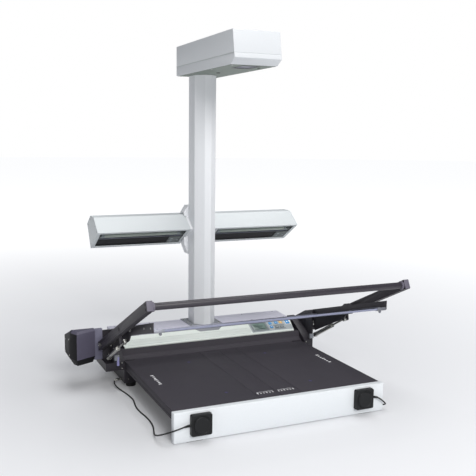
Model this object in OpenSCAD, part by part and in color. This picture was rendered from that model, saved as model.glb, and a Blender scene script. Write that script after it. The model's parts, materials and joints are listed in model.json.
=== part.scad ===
// Overhead book scanner: a flat book platform with a white front panel, a rear
// housing with a control strip, a column with two lamps and a camera head, and a
// glass plate that a pair of lifting arms swings up from the platform.
// Millimetres, +Z up, +Y to the rear. Origin: on the floor below the column's axis.

/* [Front panel and platform] */
// Width of the white front panel
panel_w = 700; // [560:1:900]
// Height of the front panel
panel_h = 88.5; // [75:0.5:130]
// Thickness of the front panel
panel_t = 20.8; // [12:0.1:30]
// Distance from the column's axis to the panel's front face
panel_reach = 673; // [560:1:820]
// Gap between the floor and the panel's lower edge
floor_gap = 2.5; // [1:0.5:6]
// How far the platform stands in from each end of the panel
deck_inset = 5; // [2:1:15]
// Thickness of the tray below the book plates
tray_h = 23.5; // [20:0.5:40]
// Thickness of the book plates and the spine strips
plate_t = 6; // [3:0.5:10]
// Width of one spine strip
spine_w = 71; // [40:1:120]
// How far a spine strip sinks
spine_travel = 14; // [5:1:16]
// Gap between platform pieces
deck_gap = 0.6; // [0.4:0.1:1.5]

/* [Rear housing] */
// Height of the housing's flat top above the floor
housing_top = 160; // [145:1:200]
// Distance from the column's axis to the housing's rear face
housing_back = 59; // [59:1:110]
// Distance from the column's axis to the chassis' front face
chassis_front = 170; // [150:1:200]
// Clearance below the chassis
chassis_gap = 15.5; // [10:0.5:30]
// Height of the chassis' roof above the floor
chassis_top = 122.5; // [115:0.5:130]
// Sheet thickness of the housing
sheet_t = 2.5; // [1.5:0.1:4]
// Distance from the column's axis to the lower edge of the control strip
strip_low_y = 122; // [119:1:130]
// Distance from the column's axis to the upper edge of the control strip
strip_high_y = 61; // [60:1:64]
// Height of the control strip's lower edge
strip_low_z = 126.1; // [124:0.1:135]
// How much the strip narrows at each end towards its lower edge
strip_taper = 11; // [0:1:30]
// Diameter of a rubber foot
foot_d = 38; // [25:1:50]

/* [Column and head] */
// Width of the column
column_w = 83; // [60:1:110]
// Depth of the column
column_d = 118; // [90:1:118]
// Length of the column's bevels
column_bevel = 29; // [10:1:32]
// Wall of the column
column_wall = 4; // [3:0.5:6]
// Height of the head's underside above the floor
head_low = 1072.3; // [900:1:1300]
// Height of the head
head_h = 104.1; // [80:1:140]
// Width of the head
head_w = 160.7; // [130:1:200]
// Distance from the column's axis to the head's nose at its lower edge
head_reach = 459; // [380:1:560]
// How far the head's front leans back at its top
head_lean = 16.6; // [0:0.1:30]
// Height of the lower cover of the head
head_tray_h = 32.8; // [25:0.1:45]
// Wall of the head's covers
head_wall = 3; // [2:0.5:5]

/* [Lamps] */
// Distance from the centre plane to a lamp's outer end
lamp_reach = 398; // [300:1:480]
// Height of the lamps' lower edge above the floor
lamp_low = 447.5; // [380:1:600]
// Wall of a lamp housing
lamp_wall = 3; // [2:0.5:5]
// Width of the frame around a lamp's mouth
lamp_rim = 12; // [6:1:20]
// Diameter of a lamp tube
lamp_tube_d = 16; // [12:1:26]

/* [Lifting arms] */
// Distance from the column's axis forward to the arms' pivot
pivot_y = 145; // [135:1:150]
// Height of the arms' pivot
pivot_z = 151.8; // [145:1:165]
// Angle of the raised arms
arm_angle = 25.3; // [20:0.1:35]
// Length of an arm from its pivot to its front face
arm_len = 587.2; // [480:1:700]
// Height of the arm's section
arm_h = 29; // [24:0.5:34]
// Width of the arm's section
arm_w = 18; // [15:0.5:24]
// Wall of the arm
arm_wall = 2; // [1.5:0.5:4]
// Gap between the front panel's end and the arm
arm_gap = 60; // [56:1:80]
// Diameter of the handle tube
handle_d = 20.5; // [14:0.5:24]
// Diameter of the pivot pins
pivot_d = 14; // [8:0.5:18]
// Radial clearance of every pin in its hole
pin_fit = 0.05; // [0.02:0.01:0.1]

/* [Glass plate] */
// Tilt of the raised glass
glass_tilt = 16; // [10:0.5:22]
// Thickness of the glass
glass_t = 6; // [4:0.5:8]
// Depth of the glass from front to rear
glass_d = 452; // [360:1:455]
// Distance from the arms' pivot to the pin that carries the glass
carrier_arm = 273.2; // [220:1:330]
// Distance from that pin down to the middle of the glass
glass_drop = 18.2; // [14:0.2:26]
// Distance from that pin forward to the glass's front edge
glass_fore = 226.8; // [180:1:235]
// Thickness of the plates at the sides of the glass
carrier_t = 4; // [3:0.5:6]
// Diameter of the pin that carries the glass
carrier_pin_d = 10; // [6:0.5:12]
// Height of the side plates above the middle of the glass
carrier_rise = 24.9; // [15:0.1:35]

/* [Gas struts] */
// Distance from the arms' pivot forward to the strut's lower pin
strut_low_y = 23; // [15:1:30]
// Distance from the arms' pivot down to the strut's lower pin
strut_low_z = 39.3; // [30:0.1:45]
// Distance from the arms' pivot to the strut's upper pin, along the arm
strut_up_along = 222.8; // [190:0.1:250]
// Distance from the arm's middle line down to the strut's upper pin
strut_up_drop = 31.6; // [28:0.1:40]
// Diameter of the strut's cylinder
strut_d = 15; // [10:0.5:15]
// Diameter of the strut's rod
rod_d = 7; // [5:0.5:8]

/* [Controls] */
// Width of the display
lcd_w = 58; // [40:1:80]
// Height of the display
lcd_h = 40; // [30:1:44]
// Size of a small round-cornered key
key_size = 12; // [8:0.5:14]
// Travel of a key
key_travel = 1; // [0.5:0.1:1.2]
// Gap around a key
key_gap = 0.5; // [0.4:0.1:1]

/* [Hand switches] */
// Side of a square hand switch
pad_size = 62; // [50:1:75]
// Thickness of a hand switch
pad_t = 16; // [12:0.5:24]
// Distance from the panel's end to the middle of a hand switch
pad_inset = 79; // [50:1:150]
// Height of the middle of a hand switch above the floor
pad_z = 52.5; // [42:0.5:60]
// Diameter of the hand switch's round button
pad_button_d = 50; // [30:1:54]
// Travel of the hand switch's button
pad_travel = 2; // [1:0.5:3]
// Diameter of the hand switch's cable
cord_d = 4.5; // [3:0.5:6]

/* [Hidden] */
$fn = 48;

// Small overlap that a cutting shape runs past the surface it cuts
over = 1;

// Platform
deck_z = floor_gap + panel_h;
plate_z = deck_z - plate_t;
tray_z = plate_z - tray_h;
deck_x = panel_w / 2 - deck_inset;
panel_y = -panel_reach;
deck_front = panel_y + panel_t;
deck_back = -chassis_front + 15;
tray_wall = 3;

// Rear housing
housing_x = panel_w / 2;
ledge_y = -strip_low_y - 6;
cover_x_front = housing_x - 6;
shoe_x = column_w / 2 + 21.5;
strip_slope = atan2(housing_top - 2.5 - strip_low_z, strip_low_y - strip_high_y);
strip_len = (strip_low_y - strip_high_y) / cos(strip_slope);
strip_t = 4;
strip_edge = 6;
pan_x = 150;
pan_low = 33;
pan_high = 108;
inlet_x = -90;
switch_x = -45;
switch_z = 70;
switch_w = 20;
switch_h = 24;

// Column and head
head_top = head_low + head_h;
head_x = head_w / 2;
nose_z = head_low + 17.8;
chin_y = -head_reach + 29.7;
head_back = 56;
seam_z = head_low + head_tray_h;
lens_x = 0;
lens_y = chin_y + 62;
window_w = 52;
window_d = 74;

// Lamps: outline of the lamp's section as [y, z] above its lower edge
lamp_section = [[-19, 69], [44, 118], [95, 120], [147, 85], [95, 0]];
hub_x = column_w / 2 + 9;
sleeve_x = column_w / 2 + 0.5;
lamp_len = lamp_reach - hub_x;
mouth_dir = (lamp_section[4] - lamp_section[0]) / norm(lamp_section[4] - lamp_section[0]);
mouth_in = [-mouth_dir.y, mouth_dir.x];
mouth_len = norm(lamp_section[4] - lamp_section[0]);
tube_at = lamp_section[0] + mouth_dir * 54 + mouth_in * 13.5;

// Arms; the glass is drawn in its own frame, whose origin is the carrying pin
arm_x = panel_w / 2 + arm_gap;
arm_mid_x = arm_x + arm_w / 2;
arm_tail = 17;
drive_low = pivot_z - 58.8;
drive_front = -pivot_y + 26;
carrier_x = arm_x - 18;
glass_x = carrier_x - carrier_t - 4;
bracket_x = carrier_x - carrier_t - 2;
bracket_front = -chassis_front - 4;
bracket_rear = -33;
bracket_low = tray_z + 4;
pin_at = [-pivot_y - carrier_arm * cos(arm_angle), pivot_z + carrier_arm * sin(arm_angle)];
glass_back = glass_d - glass_fore;
// Rear edge of the raised glass's rear bar, to which the brackets' brow gives way
rear_bar_y = pin_at.x + (glass_back + 1.5) * cos(glass_tilt)
    - (glass_drop - glass_t / 2 - 5) * sin(glass_tilt);
bracket_brow = max(bracket_front, rear_bar_y + 2.5);
rail_lip = 8;
rail_skin = 2.5;
rail_front = 35;
clip_w = 31;

// Gas struts: places of the two pins as [y, z]
strut_mid_x = (arm_x + carrier_x) / 2;
strut_low = [-pivot_y - strut_low_y, pivot_z - strut_low_z];
strut_up = [-pivot_y - strut_up_along * cos(arm_angle) - strut_up_drop * sin(arm_angle),
    pivot_z + strut_up_along * sin(arm_angle) - strut_up_drop * cos(arm_angle)];
strut_dir = strut_up - strut_low;
strut_len = norm(strut_dir);
strut_angle = atan2(strut_dir.y, -strut_dir.x);
strut_pin_d = 7;
stud_d = 6;
eye_open = 2.6;
cylinder_len = 118;

// Hand switches
pad_x = panel_w / 2 - pad_inset;
pad_front = panel_y - pad_t;
gland_len = 6;
gland_at = [pad_x + pad_size / 2 + gland_len, panel_y - 10, pad_z + 1.5];
plug_z = 20;
plug_left = [-housing_x - 15, -chassis_front + 36, plug_z];
plug_right = [housing_x - 34, -chassis_front - 14, plug_z];

// Keys as [x, distance up the strip, width, height]
start_key = [cover_x_front - 20, strip_len - 21.6, 16, 22];
blue_keys = [[cover_x_front - 93, strip_len - 21.6], [cover_x_front - 95, strip_len - 41.6],
    [cover_x_front - 67, strip_len - 20.6]];
orange_at = [cover_x_front - 48, strip_len - 20.6];
grey_at = [[cover_x_front - 73, strip_len - 44.6], [cover_x_front - 52, strip_len - 44.6]];
grey_key_w = 17;
grey_key_h = 10;
key_t = 3;
lcd_x = cover_x_front - 173;
lcd_up = strip_len - 14.6 - lcd_h;
keypad_x = cover_x_front - 182;

// Routes of the two cables, from the hand switch to the chassis
left_route = [
    [-308, -683, 54], [-322, -683, 52], [-340, -683, 48], [-358, -678, 42],
    [-372, -666, 34], [-380, -646, 24], [-383, -620, 13], [-380, -592, 5],
    [-372, -562, 2.4], [-364, -530, 2.4], [-360, -490, 2.4], [-361, -450, 2.4],
    [-365, -410, 2.4], [-366, -370, 2.4], [-361, -330, 2.4], [-356, -295, 2.4],
    [-358, -255, 2.4], [-363, -220, 2.4], [-370, -190, 3.5], [-377, -166, 8],
    [-379, -148, 14], [-374, -137, 19], [-365, -134, 20]];
right_route = [
    [308, -683, 54], [320, -683, 51], [332, -684, 44], [344, -684, 34],
    [355, -678, 24], [360, -662, 15], [357, -642, 7], [348, -620, 2.6],
    [338, -590, 2.4], [330, -550, 2.4], [325, -505, 2.4], [324, -460, 2.4],
    [328, -415, 2.4], [332, -370, 2.4], [330, -325, 2.4], [324, -285, 2.4],
    [319, -250, 2.6], [317, -222, 6], [316, -204, 14], [316, -192, 19], [316, -184, 20]];

// ---- helpers ----

// A box given by its two corners
module block(low, high) translate(low) cube(high - low);

// A plate standing across X between x1 and x2, from an outline in [y, z]
module across(x1, x2, outline)
    translate([x1, 0, 0]) rotate([90, 0, 90]) linear_extrude(x2 - x1) polygon(outline);

// A round bar along X
module bar(x1, x2, r, at) translate([x1, at.x, at.y]) rotate([0, 90, 0]) cylinder(h = x2 - x1, r = r);

// A rounded block, round about the Z axis
module rounded(w, d, h, r)
    linear_extrude(h) offset(r) square([w - 2 * r, d - 2 * r], center = true);

// Everything twice, for both sides of the centre plane
module both() {
    children();
    mirror([1, 0, 0]) children();
}

// The frame of the control strip: x along the strip, y up its slope, z out of it
module on_strip() translate([0, -strip_low_y, strip_low_z]) rotate([strip_slope, 0, 0]) children();

// The frame of the arms: y back along the arm, z square to it, origin at the pivot
module on_arm() translate([0, -pivot_y, pivot_z]) rotate([-arm_angle, 0, 0]) children();

// The frame of the glass: y back along the glass, z square to it, origin at its pin
module on_glass() translate([0, pin_at.x, pin_at.y]) rotate([-glass_tilt, 0, 0]) children();

// The frame of a strut: z from its lower pin to its upper pin
module on_strut()
    translate([strut_mid_x, strut_low.x, strut_low.y]) rotate([90 - strut_angle, 0, 0]) children();

// ---- platform ----

module front_panel()
    color([0.93, 0.94, 0.96])
    translate([0, panel_y + panel_t / 2, floor_gap])
        linear_extrude(panel_h) offset(3) square([panel_w - 6, panel_t - 6], center = true);

module platform_tray() {
    rib_x = spine_w + deck_gap + 2;
    color([0.17, 0.16, 0.19])
    difference() {
        block([-deck_x, deck_front, tray_z], [deck_x, -chassis_front, plate_z]);
        block([-rib_x, deck_front - over, tray_z + tray_wall],
            [rib_x, -chassis_front - tray_wall, plate_z + over]);
        both() block([rib_x + tray_wall, deck_front + tray_wall, tray_z + tray_wall],
            [deck_x - tray_wall, -chassis_front - tray_wall, plate_z + over]);
    }
}

module book_plate()
    color([0.2, 0.19, 0.22])
    block([spine_w + deck_gap, deck_front, plate_z], [deck_x, deck_back, deck_z]);

module book_plate_right() book_plate();
module book_plate_left() mirror([1, 0, 0]) book_plate();

module spine_strip()
    color([0.2, 0.19, 0.22])
    block([deck_gap / 2, deck_front + deck_gap, plate_z],
        [spine_w, -chassis_front - tray_wall - deck_gap, deck_z]);

module spine_strip_right() spine_strip();
module spine_strip_left() mirror([1, 0, 0]) spine_strip();

// ---- rear housing ----

chassis_outline = [
    [-chassis_front, chassis_gap], [-chassis_front, plate_z], [ledge_y, plate_z],
    [ledge_y, chassis_top], [housing_back - sheet_t, chassis_top],
    [housing_back - sheet_t, chassis_gap]];
chassis_inside = [
    [-chassis_front + sheet_t, chassis_gap + sheet_t], [-chassis_front + sheet_t, plate_z - sheet_t],
    [ledge_y + sheet_t, plate_z - sheet_t], [ledge_y + sheet_t, chassis_top - sheet_t],
    [housing_back - 2 * sheet_t, chassis_top - sheet_t],
    [housing_back - 2 * sheet_t, chassis_gap + sheet_t]];

module base_chassis()
    color([0.16, 0.15, 0.18])
    difference() {
        across(-housing_x, housing_x, chassis_outline);
        across(-housing_x + sheet_t, housing_x - sheet_t, chassis_inside);
        block([-pan_x + 6, housing_back - 3 * sheet_t, pan_low + 6],
            [pan_x - 6, housing_back + over, pan_high - 6]);
    }

module top_cover_plan(inset)
    polygon([
        [-cover_x_front + inset, -strip_high_y + 0.3 + inset],
        [cover_x_front - inset, -strip_high_y + 0.3 + inset],
        [housing_x - inset, housing_back - inset], [-housing_x + inset, housing_back - inset]]);

module top_cover()
    color([0.73, 0.72, 0.78])
    difference() {
        translate([0, 0, chassis_top]) linear_extrude(housing_top - chassis_top) top_cover_plan(0);
        translate([0, 0, chassis_top - over])
            linear_extrude(housing_top - chassis_top - sheet_t + over) top_cover_plan(sheet_t);
    }

// Outline of the control strip, seen square to its slope
module strip_plan()
    polygon([[-cover_x_front + strip_taper, 0], [cover_x_front - strip_taper, 0],
        [cover_x_front, strip_len], [-cover_x_front, strip_len]]);

module key_hole(at, w, h)
    translate([at.x, at.y, -strip_t - over])
        linear_extrude(2 * strip_t + 2 * over) square([w + 2 * key_gap, h + 2 * key_gap], center = true);

module all_key_holes() {
    key_hole([start_key[0], start_key[1]], start_key[2], start_key[3]);
    for (at = blue_keys) key_hole(at, key_size, key_size);
    key_hole(orange_at, key_size, key_size);
    for (at = grey_at) key_hole(at, grey_key_w, grey_key_h);
}

module control_strip()
    color([0.87, 0.89, 0.87])
    difference() {
        union() {
            on_strip() translate([0, 0, -strip_t]) linear_extrude(strip_t) strip_plan();
            across(-cover_x_front + strip_taper, cover_x_front - strip_taper, [
                [-strip_low_y, chassis_top], [-strip_low_y, strip_low_z],
                [-strip_low_y + strip_edge, strip_low_z + 1], [-strip_low_y + strip_edge, chassis_top]]);
        }
        on_strip() all_key_holes();
        on_strip() block([lcd_x, lcd_up, -over], [lcd_x + lcd_w + 2, lcd_up + lcd_h + 2, strip_t]);
        block([-housing_x, -strip_high_y, chassis_top], [housing_x, 0, housing_top]);
    }

module rear_fascia()
    color([0.17, 0.16, 0.19])
    union() {
        across(-housing_x, housing_x, [
            [deck_back + 0.3, plate_z], [deck_back + 0.3, deck_z], [deck_back + 6, deck_z],
            [deck_back + 15, deck_z + 9.5], [deck_back + 21, deck_z + 11],
            [ledge_y - 1.5, chassis_top], [ledge_y, chassis_top], [ledge_y, plate_z]]);
        block([-spine_w, -chassis_front - tray_wall, plate_z], [spine_w, deck_back + over, deck_z]);
    }

module rear_panel()
    color([0.3, 0.3, 0.33])
    difference() {
        union() {
            block([-pan_x, housing_back - sheet_t, pan_low], [pan_x, housing_back, pan_high]);
            translate([inlet_x, housing_back - 14, switch_z]) cube([32, 26, 26], center = true);
        }
        translate([inlet_x, housing_back - 8, switch_z]) cube([25, 28, 19], center = true);
        block([switch_x - switch_w / 2 - 1, housing_back - 2 * sheet_t, switch_z - switch_h / 2 - 1],
            [switch_x + switch_w / 2 + 1, housing_back + over, switch_z + switch_h / 2 + 1]);
        for (i = [0:11])
            block([40 + 8 * i, housing_back - 2 * sheet_t, 50], [43 + 8 * i, housing_back + over, 92]);
    }

module power_switch()
    color([0.1, 0.1, 0.1])
    union() {
        across(switch_x - switch_w / 2, switch_x + switch_w / 2, [
            [housing_back - 5, switch_z - 6], [housing_back + 2.4, switch_z - switch_h / 2 + 1],
            [housing_back + 1, switch_z], [housing_back + 4.6, switch_z + switch_h / 2 - 1],
            [housing_back - 5, switch_z + 6]]);
        bar(switch_x - switch_w / 2 - 0.5, switch_x + switch_w / 2 + 0.5, 4, [housing_back - 5, switch_z]);
    }

// ---- controls ----

module keypad()
    color([0.62, 0.64, 0.67])
    on_strip() difference() {
        block([keypad_x, 7, 0], [cover_x_front - 9, strip_len - 6.6, 0.8]);
        all_key_holes();
        block([lcd_x - 1, lcd_up - 1, -over], [lcd_x + lcd_w + 3, lcd_up + lcd_h + 3, 2]);
    }

module lcd_window()
    color([0.32, 0.4, 0.38])
    on_strip() block([lcd_x + 0.3, lcd_up + 0.3, 0], [lcd_x + lcd_w + 1.7, lcd_up + lcd_h + 1.7, 0.9]);

module key(at, w, h)
    on_strip() translate([at.x, at.y, -key_t + 2]) rounded(w, h, key_t, 2);

module start_button() color([0.15, 0.5, 0.8]) key(start_key, start_key[2], start_key[3]);
module blue_key_1() color([0.2, 0.6, 0.85]) key(blue_keys[0], key_size, key_size);
module blue_key_2() color([0.2, 0.6, 0.85]) key(blue_keys[1], key_size, key_size);
module blue_key_3() color([0.2, 0.6, 0.85]) key(blue_keys[2], key_size, key_size);
module orange_key() color([0.95, 0.7, 0.25]) key(orange_at, key_size, key_size);
module grey_key_1() color([0.55, 0.57, 0.6]) key(grey_at[0], grey_key_w, grey_key_h);
module grey_key_2() color([0.55, 0.57, 0.6]) key(grey_at[1], grey_key_w, grey_key_h);

// ---- feet ----

module foot(x, y, top)
    translate([x, y, 0]) {
        cylinder(h = top, r1 = foot_d / 2 - 2, r2 = foot_d / 2);
    }

module rubber_feet()
    color([0.06, 0.06, 0.06])
    both() {
        foot(housing_x - foot_d / 2 - 10, -chassis_front + foot_d / 2 + 3, chassis_gap);
        foot(housing_x - foot_d / 2 - 10, housing_back - foot_d / 2 - 8, chassis_gap);
        block([housing_x - 90, panel_y + 4, 0], [housing_x - 40, panel_y + panel_t - 4, floor_gap]);
    }

module centre_foot()
    color([0.06, 0.06, 0.06]) foot(0, 0, chassis_gap);

// ---- column ----

module octagon(w, d, b)
    polygon([
        [-w / 2 + b, -d / 2], [w / 2 - b, -d / 2], [w / 2, -d / 2 + b], [w / 2, d / 2 - b],
        [w / 2 - b, d / 2], [-w / 2 + b, d / 2], [-w / 2, d / 2 - b], [-w / 2, -d / 2 + b]]);

module column()
    color([0.86, 0.87, 0.88])
    translate([0, 0, housing_top]) linear_extrude(head_low - housing_top) difference() {
        octagon(column_w, column_d, column_bevel);
        octagon(column_w - 2 * column_wall, column_d - 2 * column_wall,
            column_bevel - 0.83 * column_wall);
    }

// A point on the control strip's section, down from its upper edge and out from its face
function strip_point(down, out) = [
    -strip_high_y - down * cos(strip_slope) - out * sin(strip_slope),
    housing_top - 2.5 - down * sin(strip_slope) + out * cos(strip_slope)];

// A plate around the column's foot, folded down onto the control strip
module column_shoe()
    color([0.5, 0.52, 0.55])
    difference() {
        union() {
            block([-shoe_x, -strip_high_y + 0.6, housing_top], [shoe_x, housing_back, housing_top + 2.5]);
            across(-shoe_x + 1, shoe_x - 1, [
                strip_point(26, 0), [-strip_high_y, housing_top - 2.5], [-strip_high_y, housing_top + 0.05],
                [-strip_high_y + 1.2, housing_top + 0.05], [-strip_high_y + 1.2, housing_top + 2.3],
                [-strip_high_y - 1.2, housing_top + 2.3], strip_point(1.2, 1.2), strip_point(26, 1.2)]);
        }
        translate([0, 0, housing_top - over]) linear_extrude(5)
            octagon(column_w + 0.4, column_d + 0.4, column_bevel);
        on_strip() both() translate([0, 0, -over]) linear_extrude(4)
            polygon([[shoe_x - 1, strip_len - 5], [shoe_x + 17, strip_len - 5],
                [shoe_x + 17, strip_len - 40], [shoe_x - 43, strip_len - 40]]);
    }

// ---- lamps ----

function lift(points, z) = [for (p = points) [p.x, p.y + z]];

module lamp_bracket()
    color([0.8, 0.81, 0.83])
    difference() {
        union() {
            translate([0, column_d / 2 + 14, 0]) rotate([90, 0, 0]) linear_extrude(40)
                polygon([[-sleeve_x, lamp_low + 152], [sleeve_x, lamp_low + 152],
                    [sleeve_x + 16, lamp_low + 127], [sleeve_x + 16, lamp_low + 10],
                    [sleeve_x, lamp_low - 31], [-sleeve_x, lamp_low - 31],
                    [-sleeve_x - 16, lamp_low + 10], [-sleeve_x - 16, lamp_low + 127]]);
            intersection() {
                across(-hub_x, hub_x, lift(lamp_section, lamp_low));
                block([-hub_x, -100, 0], [hub_x, column_d / 2 + 12, 2000]);
            }
        }
        translate([0, 0, lamp_low - 60]) linear_extrude(300)
            octagon(column_w, column_d, column_bevel);
        both() translate([hub_x, 0, 0]) rotate([90, 0, 90]) linear_extrude(20) lamp_section_2d(-2);
    }

// The lamp's section, drawn in from its outline or, below 0, grown by a clearance
module lamp_section_2d(inset) translate([0, lamp_low]) offset(delta = -inset) polygon(lamp_section);

module lamp_housing()
    color([0.88, 0.89, 0.9])
    difference() {
        across(hub_x, lamp_reach, lift(lamp_section, lamp_low));
        translate([hub_x + lamp_wall, 0, 0]) rotate([90, 0, 90])
            linear_extrude(lamp_len - 2 * lamp_wall) lamp_section_2d(lamp_wall);
        across(hub_x + lamp_rim, lamp_reach - lamp_rim, lift([
            lamp_section[0] + mouth_dir * lamp_rim - mouth_in * 5,
            lamp_section[4] - mouth_dir * lamp_rim - mouth_in * 5,
            lamp_section[4] - mouth_dir * lamp_rim + mouth_in * 5,
            lamp_section[0] + mouth_dir * lamp_rim + mouth_in * 5], lamp_low));
    }

module lamp_housing_right() lamp_housing();
module lamp_housing_left() mirror([1, 0, 0]) lamp_housing();

// A bent reflector behind each tube
module lamp_reflectors() {
    inner = lamp_wall + 1;
    back = 3;
    color([0.75, 0.8, 0.74])
    both() across(hub_x + inner, lamp_reach - inner, lift([
        lamp_section[1] + [2, -inner - 2], lamp_section[2] + [-4, -inner - 2],
        lamp_section[3] + [-inner - 10, -8], lamp_section[3] + [-inner - 10 - back, -8 - back],
        lamp_section[2] + [-5, -inner - 2 - back], lamp_section[1] + [2, -inner - 2 - back]], lamp_low));
}

module lamp_tubes()
    color([0.95, 0.97, 0.95])
    both() bar(hub_x + lamp_wall, lamp_reach - lamp_wall, lamp_tube_d / 2, tube_at + [0, lamp_low]);

// Black slats across the lower half of each mouth
module lamp_louvres() {
    slat_gap = 22;
    from = lamp_section[0] + mouth_dir * (mouth_len - lamp_rim - 52) + mouth_in * 8;
    to = lamp_section[0] + mouth_dir * (mouth_len - lamp_rim - 2) + mouth_in * 8;
    count = floor((lamp_len - 2 * lamp_wall - 6) / slat_gap);
    color([0.05, 0.05, 0.06])
    both() union() {
        for (i = [0:count - 1]) across(hub_x + lamp_wall + 4 + i * slat_gap,
            hub_x + lamp_wall + 5.5 + i * slat_gap,
            lift([from, to, to + mouth_in * 16, from + mouth_in * 16], lamp_low));
        across(hub_x + lamp_wall, lamp_reach - lamp_wall,
            lift([from, from + mouth_dir * 2, from + mouth_dir * 2 + mouth_in * 16,
                from + mouth_in * 16], lamp_low));
        across(hub_x + lamp_wall, lamp_reach - lamp_wall,
            lift([to - mouth_dir * 2, to, to + mouth_in * 16, to - mouth_dir * 2 + mouth_in * 16], lamp_low));
    }
}

// ---- head ----

function nose_y(z) = -head_reach + head_lean * (z - nose_z) / (head_top - nose_z);

module head_cover()
    color([0.9, 0.91, 0.92])
    difference() {
        across(-head_x, head_x, [[nose_y(seam_z), seam_z], [nose_y(head_top), head_top],
            [head_back, head_top], [head_back, seam_z]]);
        across(-head_x + head_wall, head_x - head_wall, [
            [nose_y(seam_z) + head_wall, seam_z - over],
            [nose_y(head_top) + head_wall, head_top - head_wall],
            [head_back - head_wall, head_top - head_wall], [head_back - head_wall, seam_z - over]]);
    }

module head_tray()
    color([0.42, 0.44, 0.42])
    difference() {
        across(-head_x, head_x, [[chin_y, head_low], [-head_reach, nose_z],
            [nose_y(seam_z), seam_z], [head_back, seam_z], [head_back, head_low]]);
        across(-head_x + head_wall, head_x - head_wall, [
            [chin_y + 2 * head_wall, head_low + head_wall], [-head_reach + 2 * head_wall, nose_z + head_wall],
            [nose_y(seam_z) + head_wall, seam_z + over], [head_back - head_wall, seam_z + over],
            [head_back - head_wall, head_low + head_wall]]);
        block([lens_x - window_w / 2, lens_y - window_d / 2, head_low - over],
            [lens_x + window_w / 2, lens_y + window_d / 2, head_low + head_wall + over]);
    }

module lens_window()
    color([0.3, 0.35, 0.38, 0.6])
    block([lens_x - window_w / 2, lens_y - window_d / 2, head_low + 0.5],
        [lens_x + window_w / 2, lens_y + window_d / 2, head_low + head_wall]);

module lens_barrel()
    color([0.08, 0.08, 0.09])
    translate([lens_x, lens_y, head_low + head_wall + 3]) union() {
        difference() {
            cylinder(h = 58, r = 24);
            translate([0, 0, -over]) cylinder(h = 12 + over, r = 19);
        }
        translate([0, 0, 58]) cylinder(h = head_h - 2 * head_wall - 61, r = 32);
    }

// ---- drive and pivots ----

// Outlines of the drive cover seen from above, from its floor up to its crown, with the
// arm's outer face and the pivot at the origin; the facet lies beside the arm
drive_belt = [[-114, 17], [-99, -18], [-29, 17], [-28, 110], [-114, 110]];

module drive_layer(z, outline) translate([0, 0, pivot_z + z]) linear_extrude(1) polygon(outline);

module drive_cover()
    color([0.3, 0.29, 0.34])
    translate([-arm_x, -pivot_y, 0]) union() {
        hull() {
            drive_layer(-64.8, [[-100, 24], [-92, 2], [-34, 30], [-32, 96], [-100, 96]]);
            drive_layer(-40.8, drive_belt);
            drive_layer(18.2, drive_belt);
            drive_layer(46.2, [[-112, 17], [-98, -17], [-29, 17], [-28, 30], [-112, 30]]);
            drive_layer(53.2, [[-106, 24], [-95, -6], [-31, 24], [-31, 30], [-106, 30]]);
        }
        hull() {
            drive_layer(drive_low - pivot_z, [[-29, 30], [-1, 30], [-1, 90], [-29, 90]]);
            drive_layer(18.2, [[-29, 25], [-1, 25], [-1, 104], [-29, 104]]);
            drive_layer(48.2, [[-29, 27], [-1, 27], [-1, 40], [-29, 40]]);
        }
    }

// Fixed bracket beside the housing; it carries the arm's pin and the strut's lower pin
module pivot_bracket()
    union() {
        across(housing_x, bracket_x - 6, [
            [bracket_front, bracket_low], [bracket_front, 96], [-strip_low_y - 6, 126],
            [-60, housing_top], [bracket_rear, housing_top], [bracket_rear, bracket_low]]);
        across(bracket_x - 6, bracket_x, [
            [bracket_front, bracket_low], [bracket_brow, pivot_z + 56.7],
            [bracket_front + 58, pivot_z + 43.7], [bracket_rear - 14, housing_top],
            [bracket_rear, housing_top - 12], [bracket_rear, bracket_low]]);
        bar(bracket_x, arm_x + arm_w + 2, pivot_d / 2, [-pivot_y, pivot_z]);
        bar(bracket_x, strut_mid_x + 6, strut_pin_d / 2, strut_low);
    }

module pivot_bracket_right()
    color([0.14, 0.13, 0.16]) union() {
        pivot_bracket();
        arm_stop(arm_x + arm_w + 2, pivot_z - 34, pivot_z + 44);
    }

// A cross wall behind the arm's tail, out to x
module arm_stop(x, low, high)
    block([bracket_x - over, drive_front - 1, low], [x, drive_front + 5, high]);

module pivot_bracket_left()
    color([0.14, 0.13, 0.16])
    mirror([1, 0, 0]) {
        pivot_bracket();
        block([bracket_x - over, bracket_front, bracket_low], [arm_x + 4, bracket_rear - 4, drive_low]);
        arm_stop(arm_x + 1, drive_low - over, pivot_z + 44);
    }

// ---- lifting arms ----

module arm()
    color([0.22, 0.21, 0.25])
    union() {
        on_arm() difference() {
            block([arm_x, -arm_len, -arm_h / 2], [arm_x + arm_w, arm_tail, arm_h / 2]);
            block([arm_x + arm_wall, -arm_len - over, -arm_h / 2 + arm_wall],
                [arm_x + arm_w - arm_wall, arm_tail - arm_wall, arm_h / 2 - arm_wall]);
            bar(arm_x - over, arm_x + arm_w + over, pivot_d / 2 + pin_fit, [0, 0]);
            bar(arm_x - over, arm_x + arm_w + over, carrier_pin_d / 2 + pin_fit, [-carrier_arm, 0]);
        }
        on_arm() across(arm_x, arm_x + 5, [
            [-strut_up_along - 14, over - arm_h / 2], [-strut_up_along - 7, -strut_up_drop - 6],
            [-strut_up_along + 7, -strut_up_drop - 6], [-strut_up_along + 14, over - arm_h / 2]]);
        bar(strut_mid_x - 5, arm_x + over, stud_d / 2, strut_up);
    }

module arm_right() arm();
module arm_left() mirror([1, 0, 0]) arm();

module arm_caps()
    color([0.42, 0.41, 0.47])
    both() on_arm() union() {
        block([arm_x + arm_wall, -arm_len, -arm_h / 2 + arm_wall],
            [arm_x + arm_w - arm_wall, -arm_len + 20, arm_h / 2 - arm_wall]);
        block([arm_x, -arm_len - 2, -arm_h / 2], [arm_x + arm_w, -arm_len, arm_h / 2]);
    }

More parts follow.
